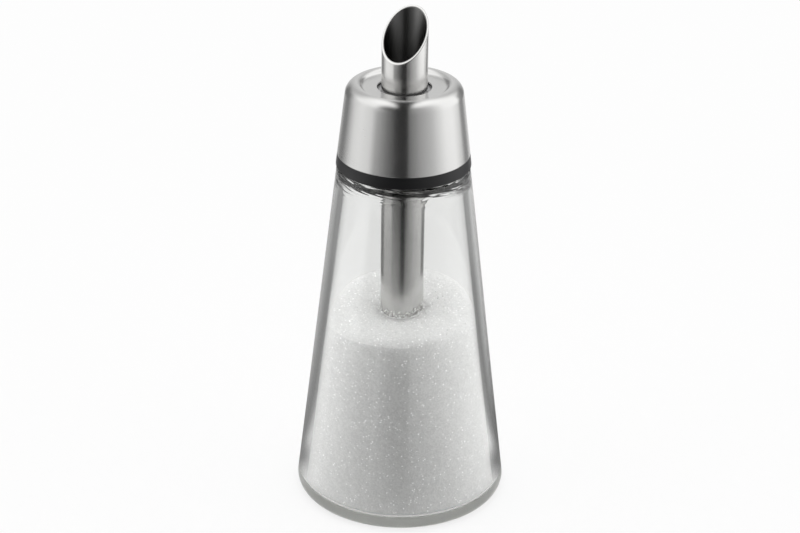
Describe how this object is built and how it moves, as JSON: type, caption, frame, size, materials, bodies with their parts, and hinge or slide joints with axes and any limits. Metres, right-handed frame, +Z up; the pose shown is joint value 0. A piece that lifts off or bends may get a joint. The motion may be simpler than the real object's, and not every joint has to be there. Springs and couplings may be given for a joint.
{
  "type": "sugar dispenser with flap",
  "caption": "Conical glass sugar dispenser with a steel screw cap, a pouring tube with a slanted mouth, a dosing tube in the sugar, and a gravity flap in the tube.",
  "frame": {"origin": "middle of the foot, on the surface that the dispenser stands on", "axes": "+Z up along the axis of the jar and tubes; the low side of the slanted mouth faces -Y"},
  "size_m": [0.076, 0.076, 0.1831],
  "materials": {
    "clear_glass": "clear, polished",
    "sugar": "white granulated sugar",
    "satin_steel": "satin, turned",
    "tube_steel": "satin, drawn",
    "black_plastic": "moulded, fine texture",
    "grey_plastic": "moulded, smooth",
    "silicone": "matt, translucent white"
  },
  "bodies": {
    "jar": {"glass_jar": "clear_glass", "sugar_fill": "sugar"},
    "seal": {"seal_ring": "silicone"},
    "dosing": {"dosing_tube": "tube_steel"},
    "cap": {"cap_shell": "satin_steel", "cap_insert": "black_plastic", "spout_collar": "grey_plastic", "spout_tube": "tube_steel", "flap_seat": "black_plastic", "flap_pin": "tube_steel"},
    "flap": {"flap": "tube_steel"}
  },
  "joints": [
    {"name": "cap_lift_off", "type": "slide", "parent": "jar", "child": "seal", "axis": [0, 0, 1], "range_m": [0, 0.11]},
    {"name": "cap_rise", "type": "slide", "parent": "seal", "child": "dosing", "axis": [0, 0, 1], "range_m": [0, 0.0044]},
    {"name": "cap_turn", "type": "hinge", "parent": "dosing", "child": "cap", "pos_m": [0, 0, 0.139], "axis": [0, 0, 1], "range_deg": [0, 450]},
    {"name": "flap_swing", "type": "hinge", "parent": "cap", "child": "flap", "pos_m": [0, 0.0042, 0.15025], "axis": [-1, 0, 0], "range_deg": [0, 75]}
  ],
  "couplings": [
    {"joint": "cap_rise", "follows": "cap_turn", "m_per_rad": 0.00055704}
  ]
}
